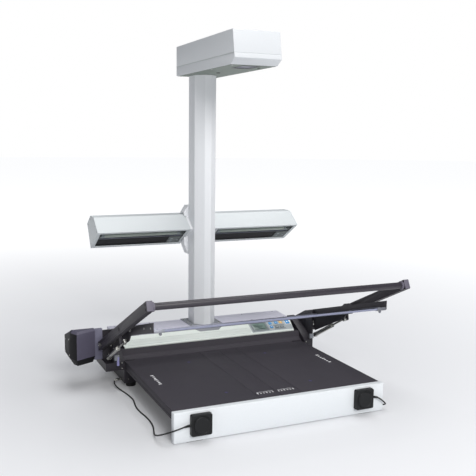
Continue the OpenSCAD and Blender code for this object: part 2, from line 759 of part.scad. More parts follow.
module handle_tube()
    color([0.25, 0.24, 0.28])
    on_arm() difference() {
        bar(-arm_x, arm_x, handle_d / 2, [-arm_len + 13, 0]);
        bar(-arm_x + 30, arm_x - 30, handle_d / 2 - 2, [-arm_len + 13, 0]);
    }

// ---- glass ----

// Side plate: it ends before the struts' lower pins and follows the raised struts below
carrier_back = carrier_arm - strut_low_y - 12;
carrier_top = carrier_rise - glass_drop;
carrier_outline = [
    [-glass_fore, -glass_drop - glass_t / 2], [-glass_fore - 8, carrier_top], [-28, carrier_top],
    [-14, 13], [14, 13], [28, carrier_top], [carrier_back - 3, carrier_top],
    [carrier_back, carrier_top - 3], [carrier_back, -glass_drop - 53.8],
    [28, -glass_drop - 19.8], [4, -glass_drop - glass_t / 2]];

module carrier_plate()
    color([0.13, 0.12, 0.15])
    on_glass() union() {
        across(carrier_x - carrier_t, carrier_x, carrier_outline);
        bar(carrier_x, arm_x + arm_w + 1.5, carrier_pin_d / 2, [0, 0]);
        bar(carrier_x, carrier_x + 3, carrier_pin_d / 2 + 3, [0, 0]);
    }

module carrier_plate_right() carrier_plate();
module carrier_plate_left() mirror([1, 0, 0]) carrier_plate();

module glass_plate()
    color([0.75, 0.85, 0.88, 0.35])
    on_glass() block([-glass_x, -glass_fore, -glass_drop - glass_t / 2],
        [glass_x, glass_back, -glass_drop + glass_t / 2]);

module glass_rails()
    color([0.3, 0.32, 0.42])
    both() on_glass() difference() {
        block([glass_x - rail_lip, -rail_front, -glass_drop - glass_t / 2 - rail_skin],
            [carrier_x - carrier_t, glass_back - 24, -glass_drop + glass_t / 2 + rail_skin]);
        block([glass_x - rail_lip - over, -rail_front - over, -glass_drop - glass_t / 2],
            [glass_x, glass_back, -glass_drop + glass_t / 2]);
    }

module glass_rear_bar()
    color([0.2, 0.2, 0.24])
    on_glass() difference() {
        block([-carrier_x + carrier_t, glass_back - 22, -glass_drop - glass_t / 2 - rail_skin],
            [carrier_x - carrier_t, glass_back + 1.5, -glass_drop + glass_t / 2 + 5]);
        block([-glass_x, glass_back - 22 - over, -glass_drop - glass_t / 2],
            [glass_x, glass_back, -glass_drop + glass_t / 2]);
    }

module glass_clips()
    color([0.6, 0.62, 0.68])
    both() on_glass() union() {
        difference() {
            block([carrier_x - carrier_t - clip_w, -glass_fore - 2, -glass_drop - glass_t / 2 - 2],
                [carrier_x - carrier_t, -glass_fore + 12, -glass_drop + glass_t / 2 + 2]);
            block([carrier_x - carrier_t - clip_w - over, -glass_fore, -glass_drop - glass_t / 2],
                [glass_x, -glass_fore + 12 + over, -glass_drop + glass_t / 2]);
        }
        translate([glass_x - 16, -glass_fore + 5, -glass_drop - glass_t / 2 - 5]) {
            cylinder(h = 4, r = 2.5);
            sphere(r = 4.5, $fn = 32);
        }
    }

// ---- gas struts ----

module strut_cylinder()
    color([0.7, 0.7, 0.68])
    on_strut() difference() {
        union() {
            translate([0, 0, 16]) cylinder(h = cylinder_len, r = strut_d / 2);
            block([-5, -7, -2], [5, 7, 18]);
            bar(-5, 5, 8.5, [0, 0]);
        }
        bar(-5 - over, 5 + over, strut_pin_d / 2 + pin_fit, [0, 0]);
        translate([0, 0, 24]) cylinder(h = cylinder_len - 14, r = strut_d / 2 - 2);
        translate([0, 0, 100]) cylinder(h = cylinder_len, r = rod_d / 2 + pin_fit);
    }

module strut_cylinder_right() strut_cylinder();
module strut_cylinder_left() mirror([1, 0, 0]) strut_cylinder();

module strut_rod()
    color([0.55, 0.55, 0.55])
    on_strut() difference() {
        union() {
            translate([0, 0, 60]) cylinder(h = strut_len - 60 - 6, r = rod_d / 2);
            translate([0, 0, 56]) cylinder(h = 8, r = strut_d / 2 - 2.3);
            bar(-4, 4, stud_d / 2 + eye_open + 3, [0, strut_len]);
        }
        bar(-4 - over, 4 + over, stud_d / 2 + eye_open, [0, strut_len]);
    }

module strut_rod_right() strut_rod();
module strut_rod_left() mirror([1, 0, 0]) strut_rod();

// ---- hand switches ----

module switch_pad()
    color([0.08, 0.08, 0.09])
    union() {
        difference() {
            translate([pad_x, panel_y, pad_z]) rotate([90, 0, 0]) rounded(pad_size, pad_size, pad_t, 5);
            translate([pad_x, pad_front + 6, pad_z]) rotate([90, 0, 0])
                cylinder(h = 6 + over, r = pad_button_d / 2 + 0.4);
        }
        bar(pad_x + pad_size / 2, pad_x + pad_size / 2 + gland_len, cord_d / 2 + 1.5,
            [gland_at.y, gland_at.z]);
    }

module switch_pad_right() switch_pad();
module switch_pad_left() mirror([1, 0, 0]) switch_pad();

module switch_button()
    color([0.1, 0.1, 0.11])
    translate([pad_x, pad_front + 6 - pad_travel - 0.3, pad_z]) rotate([90, 0, 0])
        cylinder(h = 6, r = pad_button_d / 2);

module switch_button_right() switch_button();
module switch_button_left() mirror([1, 0, 0]) switch_button();

// ---- cables ----

// Points of a smooth curve through a route, two for each of its spans
function smooth(p) = [
    for (i = [0:len(p) - 2], half = [0, 1])
        let (a = p[max(i - 1, 0)], b = p[i], c = p[i + 1], d = p[min(i + 2, len(p) - 1)])
            half == 0 ? b : (9 * b + 9 * c - a - d) / 16,
    p[len(p) - 1]];

function unit(v) = v / norm(v);

// Direction of a curve at its point i
function heading(p, i) = unit(p[min(i + 1, len(p) - 1)] - p[max(i - 1, 0)]);

// A closed tube along a list of points
module tube_along(path, d, sides = 8) {
    rings = len(path);
    points = [for (i = [0:rings - 1])
        let (t = heading(path, i), u = unit(cross(t, [0.1, 0.05, 1])), w = cross(t, u))
            for (k = [0:sides - 1]) path[i] + d / 2 * (cos(360 * k / sides) * u + sin(360 * k / sides) * w)];
    sides_faces = [for (i = [0:rings - 2], k = [0:sides - 1])
        let (a = i * sides + k, b = i * sides + (k + 1) % sides)
            each [[a, b, a + sides], [b, b + sides, a + sides]]];
    ends = [[for (k = [sides - 1:-1:0]) k], [for (k = [0:sides - 1]) (rings - 1) * sides + k]];
    polyhedron(points, concat(sides_faces, ends), convexity = 6);
}

// A route carried over to another start and finish: along the floor both shifts blend,
// upwards each one fades out near its own end
function tied(route, start, finish) =
    let (n = len(route) - 1, a = start - route[0], b = finish - route[n])
        [for (i = [0:n]) route[i] + [(1 - i / n) * a.x + i / n * b.x, (1 - i / n) * a.y + i / n * b.y,
            max(0, 1 - i / 8) * a.z + max(0, 1 - (n - i) / 4) * b.z]];

module cord_left()
    color([0.08, 0.08, 0.08])
    tube_along(smooth(tied(left_route, [-gland_at.x, gland_at.y, gland_at.z], plug_left)), cord_d);

module cord_right()
    color([0.08, 0.08, 0.08])
    tube_along(smooth(tied(right_route, gland_at, plug_right)), cord_d);

module cord_plugs()
    color([0.75, 0.76, 0.78])
    union() {
        bar(plug_left.x, -housing_x, 4, [plug_left.y, plug_z]);
        translate([plug_right.x, -chassis_front, plug_z]) rotate([90, 0, 0]) cylinder(h = 14, r = 4);
    }

front_panel();
platform_tray();
book_plate_left();
book_plate_right();
spine_strip_left();
spine_strip_right();
base_chassis();
top_cover();
control_strip();
rear_fascia();
rear_panel();
power_switch();
keypad();
lcd_window();
start_button();
blue_key_1();
blue_key_2();
blue_key_3();
orange_key();
grey_key_1();
grey_key_2();
rubber_feet();
centre_foot();
column();
column_shoe();
lamp_bracket();
lamp_housing_left();
lamp_housing_right();
lamp_reflectors();
lamp_tubes();
lamp_louvres();
head_cover();
head_tray();
lens_window();
lens_barrel();
drive_cover();
pivot_bracket_left();
pivot_bracket_right();
arm_left();
arm_right();
arm_caps();
handle_tube();
carrier_plate_left();
carrier_plate_right();
glass_plate();
glass_rails();
glass_rear_bar();
glass_clips();
strut_cylinder_left();
strut_cylinder_right();
strut_rod_left();
strut_rod_right();
switch_pad_left();
switch_pad_right();
switch_button_left();
switch_button_right();
cord_left();
cord_right();
cord_plugs();
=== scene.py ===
"""Overhead book scanner: the looks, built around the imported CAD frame. Metres, +Z up, +Y to the rear.

Detail pieces are given in millimetres, and the helpers that build them turn these into metres.
"""
import json
import math

import bmesh
import bpy
from mathutils import Matrix, Vector


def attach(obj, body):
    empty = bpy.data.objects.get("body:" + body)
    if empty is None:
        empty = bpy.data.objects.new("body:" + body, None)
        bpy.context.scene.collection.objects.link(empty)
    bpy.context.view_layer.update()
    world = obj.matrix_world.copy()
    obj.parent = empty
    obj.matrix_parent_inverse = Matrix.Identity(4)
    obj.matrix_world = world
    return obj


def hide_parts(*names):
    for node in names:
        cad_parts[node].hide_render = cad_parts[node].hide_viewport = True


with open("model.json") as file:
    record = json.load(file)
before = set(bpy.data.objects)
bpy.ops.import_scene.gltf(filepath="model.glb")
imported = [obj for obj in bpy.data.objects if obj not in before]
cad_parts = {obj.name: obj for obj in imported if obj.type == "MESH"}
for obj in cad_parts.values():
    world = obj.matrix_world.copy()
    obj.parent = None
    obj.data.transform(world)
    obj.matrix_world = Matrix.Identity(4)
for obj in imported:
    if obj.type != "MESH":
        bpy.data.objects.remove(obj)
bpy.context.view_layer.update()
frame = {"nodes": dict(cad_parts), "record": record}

BODY_OF = {node: body for body, nodes in frame["record"]["behaviour"]["bodies"].items() for node in nodes}
SLOT_OF = {part["node"]: part["material_slot"] for part in frame["record"]["subparts"]}
SIDES = (("left", -1), ("right", 1))
MM = 0.001

# Places and angles of the CAD model that details sit on, in millimetres and degrees
DECK_TOP = 91.0
HAND_SWITCH_X, HAND_SWITCH_Z = 271, 52.5
HEAD_LOW = 1072.3
STRIP_LOW_Y, STRIP_LOW_Z = -122, 126.1
STRIP_RUN, STRIP_RISE = 61, 31.4
PIVOT_Y, PIVOT_Z = -145, 151.8
ARM_ANGLE = 25.3
HANDLE_ALONG_ARM = -574.2
GLASS_PIN_Y, GLASS_PIN_Z = -391.995, 268.554
GLASS_TILT = 16
MOUTH_LIP_Y, MOUTH_LIP_Z = -19, 516.5
MOUTH_TILT = 31.185


# ---------------------------------------------------------------- camera and light

# The photograph's camera, in metres and degrees
CAMERA_AT = (-0.9909, -2.4756, 0.8459)
CAMERA_PAN, CAMERA_DIP, CAMERA_ROLL = -23.043, 7.752, 0.474


def make_camera():
    """The camera stands in front of the scanner and to its left, above the lamps, and looks slightly down."""
    lens = bpy.data.cameras.new("camera")
    lens.lens, lens.sensor_width, lens.clip_end = 54.5, 36, 60
    lens.shift_x, lens.shift_y = 0.0441, -0.0017
    camera = bpy.data.objects.new("camera", lens)
    bpy.context.scene.collection.objects.link(camera)
    turn = (Matrix.Rotation(math.radians(CAMERA_PAN), 4, "Z")
            @ Matrix.Rotation(math.radians(90 - CAMERA_DIP), 4, "X")
            @ Matrix.Rotation(math.radians(CAMERA_ROLL), 4, "Z"))
    camera.matrix_world = Matrix.Translation(CAMERA_AT) @ turn
    bpy.context.scene.camera = camera


def area_light(name, at, towards, size, power, colour=(1, 1, 1)):
    """A soft rectangular light that faces a point."""
    lamp = bpy.data.lights.new(name, "AREA")
    lamp.shape, lamp.size, lamp.size_y = "RECTANGLE", size[0], size[1]
    lamp.energy, lamp.color = power, colour
    light = bpy.data.objects.new(name, lamp)
    bpy.context.scene.collection.objects.link(light)
    aim = (Vector(towards) - Vector(at)).to_track_quat("-Z", "Y")
    light.matrix_world = Matrix.Translation(at) @ aim.to_matrix().to_4x4()


def make_studio():
    """A white room: a broad key from the front, a top light, and a faint sky behind a white backdrop."""
    world = bpy.data.worlds.new("studio")
    bpy.context.scene.world = world
    world.use_nodes = True
    nodes, link = world.node_tree.nodes, world.node_tree.links.new
    sky, backdrop = nodes["Background"], nodes.new("ShaderNodeBackground")
    blend = nodes.new("ShaderNodeMixShader")
    sky.inputs["Color"].default_value = (0.90, 0.94, 1.0, 1)
    sky.inputs["Strength"].default_value = 0.20
    backdrop.inputs["Color"].default_value = (1, 1, 1, 1)
    link(nodes.new("ShaderNodeLightPath").outputs["Is Camera Ray"], blend.inputs["Fac"])
    link(sky.outputs["Background"], blend.inputs[1])
    link(backdrop.outputs["Background"], blend.inputs[2])
    link(blend.outputs["Shader"], nodes["World Output"].inputs["Surface"])
    area_light("key", (-0.5, -6.9, 3.9), (0, -0.3, 0.5), (3.6, 3.0), 356, (1, 0.99, 0.98))
    area_light("top", (0.5, -0.3, 4.2), (0, -0.3, 0), (3.2, 3.2), 118)
    bpy.context.scene.view_settings.view_transform = "Standard"


# The floor begins to glow this far from the column, and glows fully at the second distance, in metres
GLOW_NEAR, GLOW_FAR = 0.7, 4.0


def backdrop_floor():
    """The floor's finish: pale paper that glows further out, so that it runs into the white backdrop."""
    material = surface("plain_floor", srgb(215, 216, 219), 0.85, grain=30, depth=0.00002, patchy=0.004,
                       speckle=0.0, specular=0.1)
    nodes, link = material.node_tree.nodes, material.node_tree.links.new
    away = nodes.new("ShaderNodeVectorMath")
    away.operation = "LENGTH"
    link(nodes["Texture Coordinate"].outputs["Object"], away.inputs[0])
    glow = map_range(nodes, away.outputs["Value"], GLOW_NEAR, GLOW_FAR, 0.08, 0.85)
    shader = nodes["Principled BSDF"]
    shader.inputs["Emission Color"].default_value = (1, 1, 1, 1)
    link(glow, shader.inputs["Emission Strength"])
    return material


# ---------------------------------------------------------------- materials

def srgb(red, green, blue):
    """A screen colour, 0 to 255, as the linear colour that a shader takes."""
    channels = [c / 255 for c in (red, green, blue)]
    return tuple(c / 12.92 if c <= 0.04045 else ((c + 0.055) / 1.055) ** 2.4 for c in channels) + (1,)


def scaled(colour, factor):
    """A colour made lighter or darker."""
    return tuple(min(1, c * factor) for c in colour[:3]) + (1,)


def map_range(nodes, value, from_min, from_max, to_min=0.0, to_max=1.0):
    """The output of a Map Range node that is fed by another node's output."""
    node = nodes.new("ShaderNodeMapRange")
    limits = {"From Min": from_min, "From Max": from_max, "To Min": to_min, "To Max": to_max}
    for socket, limit in limits.items():
        node.inputs[socket].default_value = limit
    node.id_data.links.new(value, node.inputs["Value"])
    return node.outputs["Result"]


# The Mix node's factor, first colour and second colour, and its colour output, by their place in the node
MIX_SOCKETS, MIX_RESULT = (0, 6, 7), 2
WEAR_RADIUS = 0.0012
GLOSS_SPREAD = 0.07


def surface(name, colour, rough, metallic=0.0, grain=900, depth=0.00006, patchy=0.05, speckle=0.03,
            wear=0.0, stretch=(1, 1, 1), coat=0.0, alpha=1.0, specular=0.5):
    """A procedural finish: fine grain in bump and colour, broad patches of tone and gloss, worn edges."""
    material = bpy.data.materials.new(name)
    material.use_nodes = True
    nodes, link = material.node_tree.nodes, material.node_tree.links.new
    shader = nodes["Principled BSDF"]
    place = nodes.new("ShaderNodeMapping")
    place.inputs["Scale"].default_value = stretch
    link(nodes.new("ShaderNodeTexCoord").outputs["Object"], place.inputs["Vector"])

    def noise(scale, detail):
        texture = nodes.new("ShaderNodeTexNoise")
        texture.inputs["Scale"].default_value = scale
        texture.inputs["Detail"].default_value = detail
        link(place.outputs["Vector"], texture.inputs["Vector"])
        return texture.outputs["Fac"]

    def mix(factor, first, second):
        blend = nodes.new("ShaderNodeMix")
        blend.data_type = "RGBA"
        for socket, value in zip(MIX_SOCKETS, (factor, first, second)):
            if hasattr(value, "is_linked"):
                link(value, blend.inputs[socket])
            else:
                blend.inputs[socket].default_value = value
        return blend.outputs[MIX_RESULT]

    fine, broad = noise(grain, 3), noise(7, 4)
    tone = mix(broad, scaled(colour, 1 - patchy), scaled(colour, 1 + patchy))
    darker, lighter = scaled(colour, 1 - 3 * speckle), scaled(colour, 1 + 3 * speckle)
    grains = mix(map_range(nodes, fine, 0.35, 0.65), darker, lighter)
    tone = mix(0.35, tone, grains)
    if wear:
        edge = nodes.new("ShaderNodeBevel")
        edge.samples = 4
        edge.inputs["Radius"].default_value = WEAR_RADIUS
        facing = nodes.new("ShaderNodeVectorMath")
        facing.operation = "DOT_PRODUCT"
        link(edge.outputs["Normal"], facing.inputs[0])
        link(nodes.new("ShaderNodeNewGeometry").outputs["Normal"], facing.inputs[1])
        rubbed = map_range(nodes, facing.outputs["Value"], 0.99, 0.88, 0.0, wear)
        tone = mix(rubbed, tone, scaled(colour, 2.2))
    link(tone, shader.inputs["Base Color"])
    gloss = map_range(nodes, broad, 0.0, 1.0, max(0.02, rough - GLOSS_SPREAD), min(1, rough + GLOSS_SPREAD))
    link(gloss, shader.inputs["Roughness"])
    bump = nodes.new("ShaderNodeBump")
    bump.inputs["Distance"].default_value = depth
    link(fine, bump.inputs["Height"])
    link(bump.outputs["Normal"], shader.inputs["Normal"])
    shader.inputs["Metallic"].default_value = metallic
    shader.inputs["Coat Weight"].default_value = coat
    shader.inputs["Coat Roughness"].default_value = 0.15
    shader.inputs["Alpha"].default_value = alpha
    shader.inputs["Specular IOR Level"].default_value = specular
    return material


POWDER = {"grain": 1100, "depth": 0.00008}
BRUSHED = {"metallic": 1.0, "stretch": (0.05, 1, 1), "grain": 1500, "depth": 0.00003}

# The main finishes, most of them named like the record's material slots
FINISH = {
    "white_panel": surface("white_panel", srgb(229, 233, 236), 0.42, **POWDER, patchy=0.015, wear=0.1),
    "light_grey_paint": surface("light_grey_paint", srgb(226, 228, 231), 0.45, **POWDER, patchy=0.02,
                                wear=0.12),
    # Painted shade: the head's light paint coloured as it looks in shadow under the head
    "head_underside": surface("head_underside", srgb(112, 122, 114), 0.6, grain=900, patchy=0.06),
    "charcoal_tray": surface("charcoal_tray", srgb(54, 50, 58), 0.66, grain=1700, depth=0.0001,
                             patchy=0.07, speckle=0.09, wear=0.25),
    "charcoal_steel": surface("charcoal_steel", srgb(40, 37, 44), 0.5, **POWDER, patchy=0.08, wear=0.3),
    "arm_paint": surface("arm_paint", srgb(37, 33, 41), 0.5, **POWDER, patchy=0.06, wear=0.35),
    "cap_plastic": surface("cap_plastic", srgb(98, 94, 107), 0.5, grain=1600, patchy=0.05),
    "drive_plastic": surface("drive_plastic", srgb(84, 81, 98), 0.6, grain=1300, depth=0.00012,
                             patchy=0.05, speckle=0.07, wear=0.2),
    "lilac_cover": surface("lilac_cover", srgb(219, 218, 232), 0.42, **POWDER, patchy=0.03, wear=0.12),
    "shoe_grey": surface("shoe_grey", srgb(140, 143, 150), 0.4, **POWDER, patchy=0.04, wear=0.15),
    "pale_strip": surface("pale_strip", srgb(234, 241, 235), 0.4, grain=700, depth=0.00003, patchy=0.02),
    "socket_plate": surface("socket_plate", srgb(86, 86, 92), 0.5, **POWDER, patchy=0.06, wear=0.2),
    "black_plastic": surface("black_plastic", srgb(22, 23, 25), 0.45, grain=1900, depth=0.00006,
                             patchy=0.12, speckle=0.1, specular=0.3),
    "keypad_grey": surface("keypad_grey", srgb(176, 183, 186), 0.45, grain=500, depth=0.00002),
    "lcd_glass": surface("lcd_glass", srgb(120, 142, 135), 0.2, grain=60, depth=0.00001, coat=0.6),
    "key_blue": surface("key_blue", srgb(44, 148, 214), 0.4, grain=500, depth=0.00002, coat=0.2),
    "key_orange": surface("key_orange", srgb(240, 184, 78), 0.4, grain=500, depth=0.00002, coat=0.2),
    "key_grey": surface("key_grey", srgb(132, 140, 143), 0.45, grain=500, depth=0.00002),
    "rubber": surface("rubber", srgb(26, 26, 27), 0.8, grain=800, depth=0.00012, patchy=0.15, speckle=0.1),
    "reflector": surface("reflector", srgb(196, 208, 196), 0.28, metallic=0.9, grain=120, depth=0.00005),
    "tube_glass": surface("tube_glass", srgb(150, 160, 152), 0.2, grain=80, depth=0.00001, coat=0.5),
    "lens_glass": surface("lens_glass", srgb(88, 92, 112), 0.35, grain=40, depth=0.000005, specular=0.3),
    "rail_metal": surface("rail_metal", srgb(126, 128, 140), 0.42, **BRUSHED, patchy=0.05, wear=0.2),
    "bright_metal": surface("bright_metal", srgb(176, 176, 172), 0.28, **BRUSHED, patchy=0.08),
    "clip_metal": surface("clip_metal", srgb(128, 130, 138), 0.42, metallic=0.6, grain=420, depth=0.00025,
                          patchy=0.1, speckle=0.14),
    "cable_black": surface("cable_black", srgb(24, 25, 25), 0.5, grain=1400, depth=0.00005, patchy=0.1),
    "clear_glass": surface("clear_glass", srgb(214, 226, 232), 0.03, grain=30, depth=0.000002,
                           patchy=0.01, speckle=0.0, alpha=0.12, specular=0.6),
}
# Shades of those, for details and single faces, among them darker and lighter copies painted for the light
# that falls on a part
EXTRA = {
    # Painted shade: the white paint made darker for the head and the lamp housings, so that their lit fronts
    # don't burn out
    "head_white": surface("head_white", srgb(206, 209, 212), 0.45, **POWDER, patchy=0.015, wear=0.1),
    "lamp_white": surface("lamp_white", srgb(200, 205, 207), 0.45, **POWDER, patchy=0.015, wear=0.1),
    "glass_edge": surface("glass_edge", srgb(148, 152, 176), 0.2, grain=300, depth=0.00002, alpha=0.8,
                          coat=0.4),
    "handle_paint": surface("handle_paint", srgb(47, 43, 51), 0.42, **POWDER, patchy=0.06, wear=0.3),
    # Painted light: the drive plastic made lighter for the inner facet that faces the key light
    "drive_facet": surface("drive_facet", srgb(112, 111, 130), 0.5, grain=1300, depth=0.0001, patchy=0.05),
    "mark_white": surface("mark_white", srgb(244, 244, 246), 0.6, grain=2500, depth=0.00001, speckle=0.08),
    "mark_blue": surface("mark_blue", srgb(66, 62, 128), 0.6, grain=2500, depth=0.00001, speckle=0.08),
    "lining": surface("lining", srgb(15, 15, 19), 0.6, grain=900, patchy=0.15, specular=0.2),
    "lamp_socket": surface("lamp_socket", srgb(92, 98, 98), 0.5, grain=900, patchy=0.1),
    "damper_lilac": surface("damper_lilac", srgb(150, 148, 196), 0.35, grain=900, patchy=0.05),
    # Grey for the head's seam, and painted shade for the lines along the control strip's folds
    "crease": surface("crease", srgb(172, 182, 176), 0.5, grain=900, patchy=0.03),
}


def finish_named(name):
    """A finish from either table."""
    return FINISH.get(name) or EXTRA[name]


# ---------------------------------------------------------------- mesh helpers

BEVEL_SEGMENTS, BEVEL_ANGLE = 3, 28
SHARP_ANGLE = 35
SAME_POINT, SAME_PLANE = 1e-6, 0.5


def block(bm, low, high):
    """A box between two corners."""
    low, high = Vector(low), Vector(high)
    corners = bmesh.ops.create_cube(bm, size=1)["verts"]
    for v in corners:
        v.co = Vector(((v.co[i] + 0.5) * (high[i] - low[i]) + low[i]) for i in range(3))


def along(start, end):
    """The transform that takes Z from the origin to the line from start to end."""
    turn = (Vector(end) - Vector(start)).to_track_quat("Z", "Y").to_matrix().to_4x4()
    return Matrix.Translation(start) @ turn


def lathe(bm, profile, place, sides=32):
    """A body of revolution about Z from points (radius, height), set by a transform."""
    rings = []
    for radius, height in profile:
        if radius < 1e-7:
            rings.append([bm.verts.new(place @ Vector((0, 0, height)))])
            continue
        turns = [2 * math.pi * k / sides for k in range(sides)]
        rings.append([bm.verts.new(place @ Vector((radius * math.cos(a), radius * math.sin(a), height)))
                      for a in turns])
    for lower, upper in zip(rings, rings[1:]):
        for k in range(sides):
            quad = [lower[k % len(lower)], lower[(k + 1) % len(lower)],
                    upper[(k + 1) % len(upper)], upper[k % len(upper)]]
            corners = list(dict.fromkeys(quad))
            if len(corners) > 2:
                bm.faces.new(corners)
    for ring in (rings[0], rings[-1]):
        if len(ring) > 2:
            bm.faces.new(ring)


def lathe_ring(bm, profile, place, sides=48):
    """A closed ring about Z from a closed profile of (radius, height)."""
    rings = [[bm.verts.new(place @ Vector((radius * math.cos(2 * math.pi * k / sides),
                                           radius * math.sin(2 * math.pi * k / sides), height)))
              for k in range(sides)] for radius, height in profile]
    for i, lower in enumerate(rings):
        upper = rings[(i + 1) % len(rings)]
        for k in range(sides):
            n = (k + 1) % sides
            bm.faces.new([lower[k], lower[n], upper[n], upper[k]])


def soften(obj, width):
    """Rounds the edges of a piece and keeps its flat faces flat in shading."""
    bevel = obj.modifiers.new("rounded_edges", "BEVEL")
    bevel.width, bevel.segments = width, BEVEL_SEGMENTS
    bevel.limit_method, bevel.angle_limit = "ANGLE", math.radians(BEVEL_ANGLE)
    bevel.harden_normals = True


def piece(name, bm, finish, body, ease=0.0, place=None):
    """Turns a bmesh into an object that rides on a body."""
    if place:
        bm.transform(place)
    bmesh.ops.recalc_face_normals(bm, faces=bm.faces)
    mesh = bpy.data.meshes.new(name)
    bm.to_mesh(mesh)
    bm.free()
    mesh.polygons.foreach_set("use_smooth", [True] * len(mesh.polygons))
    obj = bpy.data.objects.new(name, mesh)
    bpy.context.scene.collection.objects.link(obj)
    mesh.materials.append(finish)
    if ease:
        soften(obj, ease)
    else:
        mesh.set_sharp_from_angle(angle=math.radians(SHARP_ANGLE))
    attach(obj, body)
    return obj


def eased(node, width, finish=None):
    """A shell in the place of a CAD node: the same shape with rounded edges."""
    bm = bmesh.new()
    bm.from_mesh(frame["nodes"][node].data)
    bmesh.ops.remove_doubles(bm, verts=bm.verts, dist=SAME_POINT)
    bmesh.ops.dissolve_limit(bm, angle_limit=math.radians(SAME_PLANE), verts=bm.verts, edges=bm.edges)
    obj = piece(node + "_shell", bm, finish or FINISH[SLOT_OF[node]], BODY_OF[node], width)
    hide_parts(node)
    return obj


def spots(direction, places):
    """Screw places, in millimetres, with the direction that their heads face."""
    return [([c / 1000 for c in place], direction) for place in places]


def screws(name, places, radius, finish="bright_metal"):
    """Button-head screws with a socket in the fixed frame, at (place, direction) in metres."""
    bm = bmesh.new()
    rise = radius * 0.55
    profile = [(radius, -0.0004), (radius, rise * 0.35), (radius * 0.82, rise * 0.85), (radius * 0.6, rise),
               (radius * 0.45, rise), (radius * 0.42, rise * 0.25), (0, rise * 0.2)]
    for at, direction in places:
        lathe(bm, profile, along(at, Vector(at) + Vector(direction)), sides=20)
    return piece(name, bm, FINISH[finish], "base")


# ---------------------------------------------------------------- cables

LEFT_ROUTE = [
    (-308, -683, 54), (-322, -683, 52), (-340, -683, 48), (-358, -678, 42),
    (-372, -666, 34), (-380, -646, 24), (-383, -620, 13), (-380, -592, 5),
    (-372, -562, 2.4), (-364, -530, 2.4), (-360, -490, 2.4), (-361, -450, 2.4),
    (-365, -410, 2.4), (-366, -370, 2.4), (-361, -330, 2.4), (-356, -295, 2.4),
    (-358, -255, 2.4), (-363, -220, 2.4), (-370, -190, 3.5), (-377, -166, 8),
    (-379, -148, 14), (-374, -137, 19), (-365, -134, 20)]
RIGHT_ROUTE = [
    (308, -683, 54), (320, -683, 51), (332, -684, 44), (344, -684, 34),
    (355, -678, 24), (360, -662, 15), (357, -642, 7), (348, -620, 2.6),
    (338, -590, 2.4), (330, -550, 2.4), (325, -505, 2.4), (324, -460, 2.4),
    (328, -415, 2.4), (332, -370, 2.4), (330, -325, 2.4), (324, -285, 2.4),
    (319, -250, 2.6), (317, -222, 6), (316, -204, 14), (316, -192, 19), (316, -184, 20)]
CABLE_D = 0.0045
ROUTE_STEPS = 8


def smooth_route(route):
    """A Catmull-Rom curve through a route in millimetres, as points in metres."""
    points = [Vector(p) / 1000 for p in route]
    path = []
    for i in range(len(points) - 1):
        a, b = points[max(i - 1, 0)], points[i]
        c, d = points[i + 1], points[min(i + 2, len(points) - 1)]
        for k in range(ROUTE_STEPS):
            t = k / ROUTE_STEPS
            path.append(0.5 * (2 * b + (c - a) * t + (2 * a - 5 * b + 4 * c - d) * t ** 2
                               + (3 * b - a - 3 * c + d) * t ** 3))
    return path + [points[-1]]


def make_cable(side, route):
    """The cable from a hand switch back to its connector, with its strain relief and its bright plug."""
    path = smooth_route(route)
    curve = bpy.data.curves.new("cable_" + side, "CURVE")
    curve.dimensions, curve.bevel_depth, curve.bevel_resolution = "3D", CABLE_D / 2, 5
    curve.use_fill_caps = True
    spline = curve.splines.new("POLY")
    spline.points.add(len(path) - 1)
    for point, at in zip(spline.points, path):
        point.co = (*at, 1)
    cable = bpy.data.objects.new("cable_" + side, curve)
    bpy.context.scene.collection.objects.link(cable)
    curve.materials.append(FINISH["cable_black"])
    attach(cable, "base")
    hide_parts("cord_" + side)

    relief = bmesh.new()
    thin, thick, length = CABLE_D / 2 + 0.0004, CABLE_D / 2 + 0.0016, 0.0135
    ribs = 5
    profile = [(0, -0.0005), (thick, -0.0005)]
    for k in range(ribs):
        radius = thick + (thin - thick) * k / ribs
        profile += [(radius, length * (k + 0.1) / ribs), (radius, length * (k + 0.55) / ribs),
                    (radius * 0.86, length * (k + 0.62) / ribs), (radius * 0.86, length * (k + 0.95) / ribs)]
    profile += [(thin, length), (0, length)]
    lathe(relief, profile, along(path[0], path[6]), sides=24)
    sleeve = piece("cable_relief_" + side, relief, FINISH["black_plastic"], "base")

    socket, end = bmesh.new(), path[-1]
    back = (end - path[-6]).normalized()
    knurl = [(0, -0.012), (0.0030, -0.012), (0.0036, -0.0105), (0.0036, -0.006), (0.0044, -0.005),
             (0.0050, -0.004), (0.0050, 0.004), (0.0044, 0.005), (0.0040, 0.0055), (0.0040, 0.0135),
             (0, 0.0135)]
    lathe(socket, knurl, along(end, end + back), sides=24)
    plug = piece("cable_plug_" + side, socket, FINISH["bright_metal"], "base")
    length = sum((b - a).length for a, b in zip(path, path[1:]))
    return plug


def make_floor():
    """A wide round floor, which isn't part of the object."""
    bm = bmesh.new()
    bmesh.ops.create_circle(bm, cap_ends=True, segments=96, radius=30)
    floor = bpy.data.objects.new("floor", bpy.data.meshes.new("floor"))
    bm.to_mesh(floor.data)
    bm.free()
    bpy.context.scene.collection.objects.link(floor)
    floor.data.materials.append(backdrop_floor())


make_camera()
plugs = [make_cable("left", LEFT_ROUTE), make_cable("right", RIGHT_ROUTE)]
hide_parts("cord_plugs")
make_studio()
make_floor()


# ---------------------------------------------------------------- CAD shapes with eased edges

